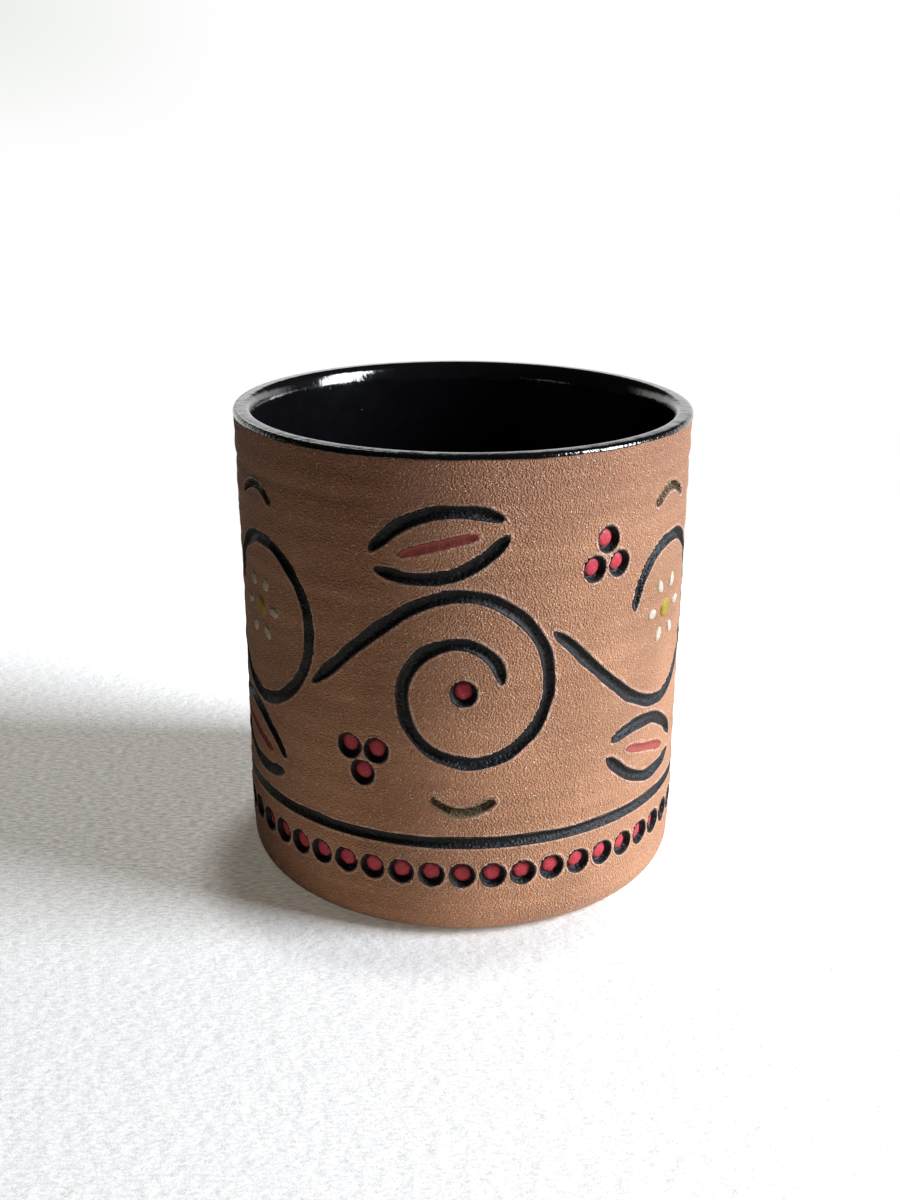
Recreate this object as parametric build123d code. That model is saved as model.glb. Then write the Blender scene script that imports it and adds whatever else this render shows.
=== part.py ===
"""A handleless stoneware drinking cup, thrown in dark clay, with carved and slip-filled ornament.

The clay body is left bare outside. A glossy liner glaze covers the inside and rolls over the lip. A running vine of
volutes, leaves, berries and small flowers is carved round the wall, above a border line and a row of round pits.
Each groove, pit and stamp is cut into the clay and holds its own layer of slip or glaze, written as a separate solid.

Millimetres, +Z up, origin at the centre of the foot. The middle of the first motif faces -Y.
"""

import os
from math import cos, degrees, pi, radians, sin, sqrt

from build123d import *

# Cup, outside
cup_height = 88.0  # foot to the crest of the glazed lip
rim_radius = 42.0  # over the glaze at the lip
wall_lean = 0.35  # how much narrower the clay wall is just above the foot's rounding than at the lip
foot_round = 4.5  # radius of the corner between the wall and the ring that the cup stands on
foot_ring_width = 5.0
foot_recess_depth = 1.4  # trimmed hollow inside the foot ring

# Cup, inside
lip_thickness = 3.4  # clay only
lip_outer_round = 0.6  # radius of the clay lip's outer corner
lip_inner_round = 1.3  # radius of its inner corner
lower_wall_thickness = 4.6  # clay, where the inner wall meets the floor curve
floor_thickness = 6.0
floor_curve_radius = 9.0

# Liner glaze
glaze_thickness = 0.35
glaze_hem = 0.25  # how far the glaze runs down the outside, below the lip's outer corner

# Carved band: the vine and all that grows on it
band_low = 22.0
band_top_margin = 7.5  # from the top of the band to the crest of the lip
motif_count = 6  # round the cup, every second one upside down

# Carved lines
line_width = 2.3
line_depth = 1.2
line_slip_thickness = 0.75  # black slip in the bottom of a line
border_line_height = 19.0

# Round pits
pit_mouth_radius = 2.25
pit_floor_radius = 1.85
pit_depth = 1.5
pit_slip_thickness = 0.2
pit_slip_set_back = 0.12  # the slip stops this far short of the clay surface
berry_margin = 0.12  # bare slip round the red dot on the pit floor
berry_thickness = 0.55
border_pit_height = 12.6
border_pit_pitch = 5.5  # the row's spacing, before it is evened out round the cup
cluster_pitch = 5.3  # centre to centre of the three pits of a cluster

# Leaf ribs, stamps and flowers
rib_width = 1.7
rib_depth = 0.95
rib_slip_thickness = 0.75
stamp_width = 2.0
stamp_depth = 1.15
stamp_glaze_thickness = 0.85
petal_width = 1.9
petal_depth = 0.5
petal_stand = 0.3  # how far the white slip stands out of the wall
petal_inner_reach = 3.6  # flower centre to the inner end of a petal
petal_outer_reach = 6.4
petal_count = 6
flower_centre_radius = 1.9
flower_centre_depth = 0.6
flower_centre_stand = 0.4

seat_gap = 0.02  # between a slip or glaze solid and the clay that it lies in
overrun = 1.0  # how far cutting tools run past the surface that they open

# The vine, as shares of the motif pitch across and of half the band's height upwards
wave_rise_share = 0.45  # height of the vine's crest
vine_start_share = -0.65  # where a stroke leaves its neighbour's back
volute_centre_share = -0.14
volute_reach_shares = (0.387, 0.59)  # first radius of the volute, across and up
volute_turn_shrink_share = 0.5  # what the radius loses in one turn
berry_eye_turns = 1.22
flower_eye_turns = 0.72
points_per_turn = 8
lead_in_points = 4

# Leaves, clusters and stamps, placed by the same shares
leaf_tip_shares = ((-0.40, 0.62), (0.20, 0.86))  # left and right tip of a leaf
leaf_bulge_share = 0.20  # how far a leaf's edge bows out, as a share of its length
leaf_open_share = 0.07  # the outline stays open at the tips by this share
leaf_rib_shares = (0.24, 0.76)  # where the red rib starts and ends along the leaf
cluster_place_shares = (0.59, 0.60)
stamp_place_shares = (1.0, 0.82)
stamp_length_share = 0.25
stamp_bow_share = 0.22

# Worked out from the sizes above
clay_rim_radius = rim_radius - glaze_thickness
base_radius = clay_rim_radius - wall_lean
foot_radius = base_radius - foot_round
lip_height = cup_height - glaze_thickness  # crest of the clay
wall_top_height = lip_height - lip_outer_round
lip_outer_centre = (clay_rim_radius - lip_outer_round, wall_top_height)
lip_inner_centre = (clay_rim_radius - lip_thickness + lip_inner_round, lip_height - lip_inner_round)
inner_low_radius = base_radius - lower_wall_thickness
motif_pitch = 2 * pi * rim_radius / motif_count
band_high = cup_height - band_top_margin
band_middle = (band_low + band_high) / 2
band_half = (band_high - band_low) / 2


def wall_radius(height):
    """Radius of the bare clay wall at a height: a straight taper from the foot's rounding to the lip's corner."""
    along = (height - foot_round) / (wall_top_height - foot_round)
    return base_radius + (clay_rim_radius - base_radius) * along


def on_wall(across, height, lift=0.0):
    """The point at a distance round the cup and a height, lifted off the clay by lift."""
    angle = across / rim_radius - pi / 2
    radius = wall_radius(height) + lift
    return Vector(radius * cos(angle), radius * sin(angle), height)


def facing_out(across, height):
    """A plane on the wall whose Z axis points straight out of the cup."""
    angle = across / rim_radius - pi / 2
    return Plane(on_wall(across, height), x_dir=(-sin(angle), cos(angle), 0), z_dir=(cos(angle), sin(angle), 0))


def whole_wall(lift):
    """A solid cone with the slant of the wall, moved off it by lift, for trimming slip and glaze to a level."""
    low, high = foot_round, wall_top_height
    outline = Polyline((0, low), (base_radius + lift, low), (clay_rim_radius + lift, high), (0, high), close=True)
    return revolve(Plane.XZ * make_face(outline), Axis.Z)


# Turned pieces


def quarter(centre, radius, start_angle, end_angle):
    """An arc about a centre between two angles in degrees above the outward direction."""
    angles = (start_angle, (start_angle + end_angle) / 2, end_angle)
    places = [
        (centre[0] + radius * cos(radians(angle)), centre[1] + radius * sin(radians(angle))) for angle in angles
    ]
    return ThreePointArc(*places)


def inner_edges(offset):
    """The inside of the cup from the axis to the lip's inner corner, moved into the cup by offset."""
    curve_centre = (inner_low_radius - floor_curve_radius, floor_thickness + floor_curve_radius)
    curve = quarter(curve_centre, floor_curve_radius - offset, -90, 0)
    wall_top = (lip_inner_centre[0] - lip_inner_round - offset, lip_inner_centre[1])
    return [Line((0, floor_thickness + offset), curve @ 0), curve, Line(curve @ 1, wall_top)]


def lip_edges(offset):
    """Over the lip from the inner wall to the outer one: a corner, a flat and a corner, moved out by offset."""
    inner = quarter(lip_inner_centre, lip_inner_round + offset, 180, 90)
    outer = quarter(lip_outer_centre, lip_outer_round + offset, 90, 0)
    return [inner, Line(inner @ 1, outer @ 0), outer]


def clay_blank():
    """The thrown and trimmed cup before anything is carved in it."""
    recess_radius = foot_radius - foot_ring_width
    foot_corner = quarter((foot_radius, foot_round), foot_round, 0, -90)
    underside = Polyline(
        foot_corner @ 1,
        (recess_radius, 0),
        (recess_radius - foot_recess_depth, foot_recess_depth),
        (0, foot_recess_depth),
        (0, floor_thickness),
    )
    lip = lip_edges(0)
    wall = Line(lip[-1] @ 1, foot_corner @ 0)
    return revolve(Plane.XZ * make_face([*inner_edges(0), *lip, wall, foot_corner, underside]), Axis.Z)


def liner_glaze():
    """The glaze coat: floor, inner wall, over the lip and a little way down the outside."""
    end_height = wall_top_height - glaze_hem
    top, back = lip_edges(glaze_thickness), lip_edges(seat_gap)
    hem = Polyline(
        top[-1] @ 1,
        (rim_radius, end_height),
        (wall_radius(end_height) + seat_gap, end_height),
        back[-1] @ 1,
    )
    axis_side = Line((0, floor_thickness + seat_gap), (0, floor_thickness + glaze_thickness))
    coat = [*inner_edges(glaze_thickness), *top, hem, *back, *inner_edges(seat_gap), axis_side]
    return revolve(Plane.XZ * make_face(coat), Axis.Z)


# Carved lines: a round gouge drawn along the wall


def gouge(width, depth):
    """Radius of a round gouge that cuts a line of this width and depth, and its centre's lift off the wall."""
    radius = (width * width / 4 + depth * depth) / (2 * depth)
    return radius, radius - depth


def stroke(points, width, depth, shrink=0.0):
    """The solid that the gouge sweeps along points (across, height); shrink makes it a little thinner."""
    radius, lift = gouge(width, depth)
    path = Spline([on_wall(across, height, lift) for across, height in points])
    start = Plane(path @ 0, z_dir=path % 0)
    return sweep(start * Circle(radius - shrink), path=path)


def border_ring(shrink=0.0):
    """The border line's gouge, drawn once round the cup."""
    radius, lift = gouge(line_width, line_depth)
    centre = (wall_radius(border_line_height) + lift, border_line_height)
    return revolve(Plane.XZ * (Pos(*centre) * Circle(radius - shrink)), Axis.Z)


def placed(motif, across_share, up_share):
    """A point (across, height) of a motif, from shares; every second motif is upside down."""
    side = 1 if motif % 2 == 0 else -1
    return (motif + across_share) * motif_pitch, band_middle + side * up_share * band_half


def vine_points(motif):
    """One stroke of the vine: up out of its neighbour's back, over the crest and round into the volute."""
    turns = berry_eye_turns if motif % 2 == 0 else flower_eye_turns
    points = []
    for step in range(lead_in_points):
        across = vine_start_share * (1 - step / lead_in_points)
        points.append(placed(motif, across, wave_rise_share * cos(pi * across)))
    steps = round(turns * points_per_turn)
    for step in range(steps + 1):
        turned = turns * step / steps
        angle = pi / 2 - 2 * pi * turned
        left = 1 - volute_turn_shrink_share * turned
        points.append(
            placed(
                motif,
                volute_reach_shares[0] * left * cos(angle),
                volute_centre_share + volute_reach_shares[1] * left * sin(angle),
            )
        )
    return points


def bowed(start, end, bow, low=0.0, high=1.0, steps=5):
    """Points from start to end that bow to the left by a share of the length, between two shares of it."""
    run, rise = end[0] - start[0], end[1] - start[1]
    points = []
    for step in range(steps):
        along = low + (high - low) * step / (steps - 1)
        off = 4 * bow * along * (1 - along)
        points.append((start[0] + run * along - rise * off, start[1] + rise * along + run * off))
    return points


def leaf_lines(motif):
    """The two bowed edges of a leaf above the vine's crest."""
    start, end = (placed(motif, *tip) for tip in leaf_tip_shares)
    ends = (leaf_open_share, 1 - leaf_open_share)
    return [bowed(start, end, side * leaf_bulge_share, *ends) for side in (1, -1)]


def leaf_rib(motif):
    """The straight rib inside a leaf."""
    start, end = (placed(motif, *tip) for tip in leaf_tip_shares)
    return bowed(start, end, 0.0, *leaf_rib_shares)


def stamp_points(motif):
    """A crescent stamp in the open field beyond the neighbouring volute."""
    middle = placed(motif, *stamp_place_shares)
    half = stamp_length_share * motif_pitch / 2
    side = 1 if motif % 2 == 0 else -1
    return bowed((middle[0] - half, middle[1]), (middle[0] + half, middle[1]), side * stamp_bow_share)


# Round pits and flowers


def pit(across, height, wall_slip=0.0, floor_slip=0.0, low=0.0, high=overrun):
    """A tapered round pit pointing out of the wall, inset by the slip on its wall and floor, between two levels."""
    slope = (pit_mouth_radius - pit_floor_radius) / pit_depth
    bottom = -pit_depth + floor_slip + low
    cone = Cone(
        pit_floor_radius - wall_slip + slope * (floor_slip + low),
        pit_mouth_radius - wall_slip + slope * high,
        high - bottom,
        align=(Align.CENTER, Align.CENTER, Align.MIN),
    )
    return facing_out(across, height) * Pos(0, 0, bottom) * cone


def pit_slip(across, height):
    """The black slip cup that lines a pit."""
    shell = pit(across, height, wall_slip=seat_gap, floor_slip=seat_gap, high=-pit_slip_set_back)
    return shell - pit(across, height, wall_slip=pit_slip_thickness, floor_slip=pit_slip_thickness)


def berry(across, height):
    """The red dot on the floor of a pit."""
    radius = pit_floor_radius - pit_slip_thickness - berry_margin
    disc = Cylinder(radius, berry_thickness, align=(Align.CENTER, Align.CENTER, Align.MIN))
    return facing_out(across, height) * Pos(0, 0, -pit_depth + pit_slip_thickness + seat_gap) * disc


def round_pad(across, height, radius, depth, stand):
    """A short round plug from a depth in the wall to a stand above it."""
    plug = Cylinder(radius, depth + stand, align=(Align.CENTER, Align.CENTER, Align.MIN))
    return facing_out(across, height) * Pos(0, 0, -depth) * plug


def volute_eye(motif):
    """The middle of a volute."""
    return placed(motif, 0, volute_centre_share)


def petal(motif, index, grow, high):
    """One oval petal of the flower in a volute's eye, from its pocket's floor up to a level, grown all round."""
    across, height = volute_eye(motif)
    angle = 2 * pi * index / petal_count
    reach = (petal_inner_reach + petal_outer_reach) / 2
    half_length = (petal_outer_reach - petal_inner_reach) / 2 + grow
    oval = Rot(0, 0, degrees(angle)) * Ellipse(half_length, petal_width / 2 + grow)
    middle = facing_out(across + reach * cos(angle), height + reach * sin(angle))
    return extrude(middle * Pos(0, 0, -petal_depth - grow) * oval, petal_depth + grow + high)


def pit_places():
    """Where the pits are: the border row, a cluster of three beside each volute, and every second eye."""
    round_the_cup = 2 * pi * rim_radius
    count = round(round_the_cup / border_pit_pitch)
    places = [(round_the_cup * index / count, border_pit_height) for index in range(count)]
    cluster_reach = cluster_pitch / sqrt(3)
    for motif in range(motif_count):
        middle = placed(motif, *cluster_place_shares)
        side = 1 if motif % 2 == 0 else -1
        for corner in range(3):
            angle = side * pi / 2 + 2 * pi * corner / 3
            places.append((middle[0] + cluster_reach * cos(angle), middle[1] + cluster_reach * sin(angle)))
        if motif % 2 == 0:
            places.append(volute_eye(motif))
    return places


motifs = range(motif_count)
flowers = [motif for motif in motifs if motif % 2 == 1]
vines = [vine_points(motif) for motif in motifs]
leaves = [line for motif in motifs for line in leaf_lines(motif)]
ribs = [leaf_rib(motif) for motif in motifs]
stamps = [stamp_points(motif) for motif in motifs]
petals = [(motif, index) for motif in flowers for index in range(petal_count)]
flower_centres = [volute_eye(motif) for motif in flowers]
pits = pit_places()


def inlay(lines, width, depth, thickness):
    """The slip or glaze lying in each of a set of carved lines, this thick at the deepest point."""
    level = whole_wall(thickness - depth)
    return [stroke(points, width, depth, seat_gap) & level for points in lines]


def carved_body():
    """The clay body with every line, pit and stamp cut into it."""
    tools = [stroke(points, line_width, line_depth) for points in vines + leaves]
    tools += [stroke(points, rib_width, rib_depth) for points in ribs]
    tools += [stroke(points, stamp_width, stamp_depth) for points in stamps]
    tools += [petal(*place, seat_gap, overrun) for place in petals]
    tools += [pit(*place) for place in pits]
    tools += [
        round_pad(*place, flower_centre_radius + seat_gap, flower_centre_depth + seat_gap, overrun)
        for place in flower_centres
    ]
    tools.append(border_ring())
    return clay_blank() - tools


def write(name, solids):
    """Writes one node's file, from one solid or several."""
    together = Compound(children=list(solids)) if isinstance(solids, list) else solids
    export_step(together, os.path.join("parts", name + ".step"))


os.makedirs("parts", exist_ok=True)
write("clay_body", carved_body())
write("liner_glaze", liner_glaze())
write("vine_black_slip", inlay(vines, line_width, line_depth, line_slip_thickness))
write("leaf_black_slip", inlay(leaves, line_width, line_depth, line_slip_thickness))
write("border_black_slip", border_ring(seat_gap) & whole_wall(line_slip_thickness - line_depth))
write("leaf_red_slip", inlay(ribs, rib_width, rib_depth, rib_slip_thickness))
write("stamp_brown_glaze", inlay(stamps, stamp_width, stamp_depth, stamp_glaze_thickness))
write("petal_white_slip", [petal(*place, 0, petal_stand) for place in petals])
write(
    "flower_yellow_slip",
    [round_pad(*place, flower_centre_radius, flower_centre_depth, flower_centre_stand) for place in flower_centres],
)
write("pit_black_slip", [pit_slip(*place) for place in pits])
write("berry_red_slip", [berry(*place) for place in pits])
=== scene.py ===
# %% [markdown]
# A handleless drinking cup of dark stoneware. The potter threw and trimmed it, carved a running vine
# round the wall, pressed a row of round pits under it, painted slip into the cuts and glazed only the
# inside and the lip. The CAD model gives every place and size. Here each of its nodes gets a finer piece,
# worked out with numpy as a surface over two parameters, because carved clay is full of small unevenness
# that solids of plain arcs don't have.

import bpy
import numpy as np
from mathutils import Euler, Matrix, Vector


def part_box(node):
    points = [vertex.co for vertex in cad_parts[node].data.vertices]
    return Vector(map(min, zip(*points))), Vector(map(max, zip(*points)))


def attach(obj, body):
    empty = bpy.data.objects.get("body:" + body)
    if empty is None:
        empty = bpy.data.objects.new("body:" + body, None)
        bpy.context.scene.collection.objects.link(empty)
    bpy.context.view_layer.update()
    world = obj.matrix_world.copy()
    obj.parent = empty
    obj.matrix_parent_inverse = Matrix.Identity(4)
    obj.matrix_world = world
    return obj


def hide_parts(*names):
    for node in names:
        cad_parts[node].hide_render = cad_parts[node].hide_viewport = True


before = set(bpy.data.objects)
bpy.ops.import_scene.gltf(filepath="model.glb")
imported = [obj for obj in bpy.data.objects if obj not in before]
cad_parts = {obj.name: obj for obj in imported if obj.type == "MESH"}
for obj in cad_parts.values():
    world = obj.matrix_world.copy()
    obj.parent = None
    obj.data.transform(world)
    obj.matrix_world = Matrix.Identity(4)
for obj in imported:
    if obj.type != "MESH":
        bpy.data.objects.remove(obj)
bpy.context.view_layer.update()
metres = 0.001  # every size in this file is in millimetres until a mesh is made

clay_high = np.array(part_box("clay_body")[1]) / metres
glaze_high = np.array(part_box("liner_glaze")[1]) / metres
cup_height = round(float(glaze_high[2]), 2)
rim_radius = round(float(glaze_high[0]), 2)
clay_rim_radius = round(float(clay_high[0]), 2)
glaze_thickness = rim_radius - clay_rim_radius
print(f"cup {2 * rim_radius} x {cup_height} mm, liner glaze {glaze_thickness:.2f} mm thick")

# %% [markdown]
# Everything on the wall is drawn flat, as a distance round the cup and a height, and then wrapped on. One
# function does the wrapping, so a carved line, its slip and the clay beside it always agree. The same
# function carries the thrower's unevenness: shallow rings, one deeper ring under the lip, and a wall that
# is not quite round.

# %% The wall
base_radius = 41.3
foot_round = 4.5
foot_radius = base_radius - foot_round
lip_thickness = 3.4
lip_outer_round = 0.6
lip_height = cup_height - glaze_thickness
wall_top_height = lip_height - lip_outer_round
girth = 2 * np.pi * rim_radius
ring_pitches = (6.1, 3.7)
ring_depths = (0.05, 0.035)
ring_leans = (1.3, 0.9)
deep_ring_height = 79.4
deep_ring_width = 0.8
deep_ring_depth = 0.2
out_of_round = 0.12
swell_fade = 4.0
waist_height = 48.0
waist_reach = 40.0
waist_depth = 0.3
rim_pull = 0.25  # the lip stands this far towards -X
drift_start, drift_full = 2.0, 16.0  # the ring that the cup stands on stays true


def around(count):
    """Angles of even steps once round."""
    return np.arange(count) / count * 2 * np.pi


def waves_round(angle, waves):
    """A sum of sines round the cup, from triples of number of waves, strength and start."""
    return sum(strength * np.sin(number * angle + start) for number, strength, start in waves)


def rise(value, low, high):
    """Smoothly from 0 at low to 1 at high: three times the share squared, less twice its cube."""
    share = np.clip((value - low) / (high - low), 0, 1)
    return share * share * (3 - 2 * share)


def swell(angle, height):
    """The wall's unevenness: two sets of leaning sine rings, a bell-shaped ring and a two-lobed wave."""
    turns = [2 * np.pi * height / pitch for pitch in ring_pitches]
    first = ring_depths[0] * np.sin(turns[0] + ring_leans[0] * np.sin(angle))
    second = ring_depths[1] * np.sin(turns[1] + ring_leans[1] * np.sin(2 * angle + 1))
    deep_ring = -deep_ring_depth * np.exp(-(((height - deep_ring_height) / deep_ring_width) ** 2))
    slow = out_of_round * np.sin(2 * angle + 0.4) * np.sin(np.pi * height / cup_height)
    above_foot = rise(height, foot_round, foot_round + swell_fade)
    below_lip = rise(wall_top_height - height, 0, swell_fade)
    return (first + second + deep_ring + slow) * above_foot * below_lip


def drift(angle, height):
    """How far the whole cup, inside and out, is off a true form: a parabolic waist and a pulled rim."""
    waist = waist_depth * ((height - waist_height) / waist_reach) ** 2
    pull = -rim_pull * np.cos(angle) * rise(height, waist_height, cup_height)
    return (waist + pull) * rise(height, drift_start, drift_full)


def wall_radius(height):
    """A straight taper from the foot's rounding to the lip's corner."""
    along = (height - foot_round) / (wall_top_height - foot_round)
    return base_radius + (clay_rim_radius - base_radius) * along


def wall_point(across, height, lift):
    """Wraps flat places on the wall: the angle is the distance over the rim radius, counted from -Y."""
    angle = across / rim_radius - np.pi / 2
    radius = wall_radius(height) + swell(angle, height) + drift(angle, height) + lift
    across, height, radius = np.broadcast_arrays(across, height, radius)
    return np.stack([radius * np.cos(angle), radius * np.sin(angle), height], -1)


# %% [markdown]
# Every piece of this cup is a closed form of one kind: rings of points, one after the other, with a point
# that closes each end. A ring may go round the cup, round a strip of slip or round a berry. So one helper
# turns an array of rings into a mesh, finds out from its volume which way its faces point, and turns them
# outwards.

# %% Rings of points to a mesh


def ring_faces(forms, rings, sides, closed_path):
    """Point numbers of the quads between neighbouring rings, and of the triangles that close both ends.

    A closed path joins its last ring to its first and needs no triangles.
    """
    ring = np.arange(forms * rings * sides).reshape(forms, rings, sides)
    onward = np.roll(ring, -1, axis=2)
    quads = np.stack([ring, np.roll(ring, -1, axis=1), np.roll(onward, -1, axis=1), onward], -1)
    if closed_path:
        return quads.reshape(-1, 4), np.zeros((0, 3), int)
    first_pole = ring.size + np.arange(forms)[:, None]
    starts = np.stack(np.broadcast_arrays(first_pole, ring[:, 0], onward[:, 0]), -1)
    ends = np.stack(np.broadcast_arrays(first_pole + forms, onward[:, -1], ring[:, -1]), -1)
    return quads[:, :-1].reshape(-1, 4), np.concatenate([starts.reshape(-1, 3), ends.reshape(-1, 3)])


def volume(points, faces):
    """Six times the signed volume under the faces, each cut into triangles from its first corner."""
    total = 0.0
    for corner in range(1, faces.shape[1] - 1):
        a, b, c = points[faces[:, 0]], points[faces[:, corner]], points[faces[:, corner + 1]]
        total += np.einsum("ij,ij->", a, np.cross(b, c))
    return total


def mesh_object(name, points, faces):
    """A smooth mesh of points in millimetres, as an object in the scene."""
    mesh = bpy.data.meshes.new(name)
    mesh.from_pydata((points * metres).tolist(), [], faces, shade_flat=False)
    placed_mesh = bpy.data.objects.new(name, mesh)
    bpy.context.collection.objects.link(placed_mesh)
    return placed_mesh


def make_piece(name, node, forms, values=None, closed_path=False):
    """Makes a piece from forms (form, ring, side, xyz) in millimetres; values are numbers kept per point."""
    forms = np.asarray(forms, float)
    quads, triangles = ring_faces(*forms.shape[:3], closed_path)
    points = forms.reshape(-1, 3)
    if not closed_path:
        points = np.concatenate([points, forms[:, 0].mean(1), forms[:, -1].mean(1)])
    if volume(points, quads) + volume(points, triangles) < 0:
        quads, triangles = quads[:, ::-1], triangles[:, ::-1]
    piece = mesh_object(name, points, quads.tolist() + triangles.tolist())
    for label, numbers in (values or {}).items():
        kept = piece.data.attributes.new(label, "FLOAT", "POINT")
        ends = [] if closed_path else [numbers[:, 0].mean(1), numbers[:, -1].mean(1)]
        kept.data.foreach_set("value", np.concatenate([numbers.ravel(), *ends]).astype(np.float32))
    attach(piece, "root")
    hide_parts(node)
    print(f"{name}: {len(quads) * 2 + len(triangles)} triangles")
    return piece


# %% [markdown]
# The vine is six strokes, every second one upside down. A stroke leaves its neighbour's back, rises over
# a crest as a cosine and winds into a volute whose radius shrinks steadily. Leaves are two bowed edges
# round a straight rib, and the stamps are small crescents. A hand never draws quite evenly, so a slow
# seeded wander moves each line sideways and changes its width, and the gouge comes in and out of the clay
# with a tapered end.

# %% Drawing the lines
motif_count = 6
motif_pitch = girth / motif_count
band_low, band_high = 22.0, 80.5
band_middle = (band_low + band_high) / 2
band_half = (band_high - band_low) / 2
line_width = 2.3
rib_width = 1.7
stamp_width = 2.0
border_line_height = 19.0
wave_rise_share = 0.45
vine_start_share = -0.65
volute_centre_share = -0.14
volute_reach_shares = (0.387, 0.59)
volute_turn_shrink_share = 0.5
berry_eye_turns, flower_eye_turns = 1.22, 0.72
leaf_tip_shares = ((-0.40, 0.62), (0.20, 0.86))
leaf_bulge_share = 0.20
leaf_open_share = 0.07
leaf_rib_shares = (0.24, 0.76)
stamp_place_shares = (1.0, 0.82)
stamp_length_share = 0.25
stamp_bow_share = 0.22
point_step = 0.45
least_steps = 8
curve_steps, spiral_steps = 80, 400
wander_lengths = (7.0, 13.0, 29.0)
wander_gain = 1.3
wander_side = 0.10
wander_width_share = 0.09
thinnest_share = 0.002
width_seed = 500
motifs = range(motif_count)


def side_of(motif):
    """1 for an upright motif and -1 for every second one, which is upside down."""
    return 1 if motif % 2 == 0 else -1


def placed(motif, across_share, up_share):
    """Flat places of a motif from shares of the pitch and of half the band."""
    across, up = np.broadcast_arrays(across_share, up_share)
    return np.stack([(motif + across) * motif_pitch, band_middle + side_of(motif) * up * band_half], -1)


def vine_line(motif):
    """A cosine lead-in, then a spiral: the angle falls by one turn as the radius loses a steady share."""
    turns = berry_eye_turns if motif % 2 == 0 else flower_eye_turns
    across = np.linspace(vine_start_share, 0, curve_steps, endpoint=False)
    turned = np.linspace(0, turns, spiral_steps)
    angle = np.pi / 2 - 2 * np.pi * turned
    left = 1 - volute_turn_shrink_share * turned
    volute_across = volute_reach_shares[0] * left * np.cos(angle)
    volute_up = volute_centre_share + volute_reach_shares[1] * left * np.sin(angle)
    lead_in_up = wave_rise_share * np.cos(np.pi * across)
    return [placed(motif, np.append(across, volute_across), np.append(lead_in_up, volute_up))]


def bowed(start, end, bow, low=0.0, high=1.0):
    """A parabola: it stands off the straight line by four times the bow, times along, times what is left."""
    along = np.linspace(low, high, curve_steps)[:, None]
    run = end - start
    aside = np.array([-run[1], run[0]])
    return start + run * along + aside * 4 * bow * along * (1 - along)


def wander(length, seed):
    """A slow wave between about -1 and 1: the mean of three sines with seeded starts."""
    starts = np.random.default_rng(seed).uniform(0, 2 * np.pi, len(wander_lengths))
    waves = [np.sin(2 * np.pi * length / pitch + start) for pitch, start in zip(wander_lengths, starts)]
    return wander_gain * np.mean(waves, axis=0)


def carved(points, width, seed, run_in, run_out):
    """A line as cut by hand: even steps, a sideways wander, and a half width that tapers at both ends."""
    summed = np.append(0, np.cumsum(np.hypot(*np.diff(points, axis=0).T)))
    along = np.linspace(0, summed[-1], int(summed[-1] / point_step) + least_steps)
    path = np.stack([np.interp(along, summed, points[:, axis]) for axis in (0, 1)], -1)
    ahead = np.gradient(path, axis=0)
    ahead /= np.linalg.norm(ahead, axis=1)[:, None]
    aside = np.stack([-ahead[:, 1], ahead[:, 0]], -1)
    path = path + aside * (wander_side * wander(along, seed))[:, None]
    ends = np.minimum(along / run_in, (along[-1] - along) / run_out)
    full = np.clip(ends, thinnest_share, 1)
    unsteady = 1 + wander_width_share * wander(along, seed + width_seed)
    half = width / 2 * unsteady * np.sqrt(full * (2 - full))
    return {"path": path, "half": half, "aside": aside, "along": along}


def leaf_edges(motif):
    """The two bowed edges of a leaf, open at its tips."""
    start, end = (placed(motif, *tip) for tip in leaf_tip_shares)
    bows = (leaf_bulge_share, -leaf_bulge_share)
    return [bowed(start, end, bow, leaf_open_share, 1 - leaf_open_share) for bow in bows]


def leaf_rib(motif):
    """The straight rib between a leaf's edges."""
    start, end = (placed(motif, *tip) for tip in leaf_tip_shares)
    return [bowed(start, end, 0.0, *leaf_rib_shares)]


def stamp_line(motif):
    """A crescent in the open field beyond the next volute."""
    middle = placed(motif, *stamp_place_shares)
    reach = np.array([stamp_length_share * motif_pitch / 2, 0])
    return [bowed(middle - reach, middle + reach, side_of(motif) * stamp_bow_share)]


def carved_set(draw, width, seed, run_in, run_out):
    """Every drawing of one kind as it was cut, each with a seed of its own."""
    drawings = [points for motif in motifs for points in draw(motif)]
    return [carved(points, width, seed + index, run_in, run_out) for index, points in enumerate(drawings)]


vines = carved_set(vine_line, line_width, seed=0, run_in=6, run_out=4)
leaves = carved_set(leaf_edges, line_width, seed=20, run_in=4, run_out=4)
ribs = carved_set(leaf_rib, rib_width, seed=40, run_in=4, run_out=3)
stamps = carved_set(stamp_line, stamp_width, seed=60, run_in=1.2, run_out=1.2)
print(f"{len(vines)} vine strokes of {vines[0]['along'][-1]:.0f} and {vines[1]['along'][-1]:.0f} mm")

# %% [markdown]
# The pits were pressed with a round stick: a row under the border line, clusters of three beside the
# volutes, and one in every second eye. The other eyes hold a flower of raised slip.

# %% Placing the pits and flowers
border_pit_height = 12.6
border_pit_count = 48
cluster_pitch = 5.3
cluster_place_shares = (0.59, 0.60)
pit_unsteadiness = 0.12
pit_place_seed = 7


def pit_places():
    """Flat places of all pits: an even row, three corners of a triangle per cluster, every second eye."""
    border = np.arange(border_pit_count) * girth / border_pit_count
    places = [np.stack([border, np.full(border_pit_count, border_pit_height)], -1)]
    for motif in motifs:
        corner = side_of(motif) * np.pi / 2 + around(3)
        ring = cluster_pitch / np.sqrt(3) * np.stack([np.cos(corner), np.sin(corner)], -1)
        places.append(placed(motif, *cluster_place_shares) + ring)
    places += [placed(motif, 0, volute_centre_share)[None] for motif in motifs[::2]]
    places = np.concatenate(places)
    return places + np.random.default_rng(pit_place_seed).normal(0, pit_unsteadiness / 2, places.shape)


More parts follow.
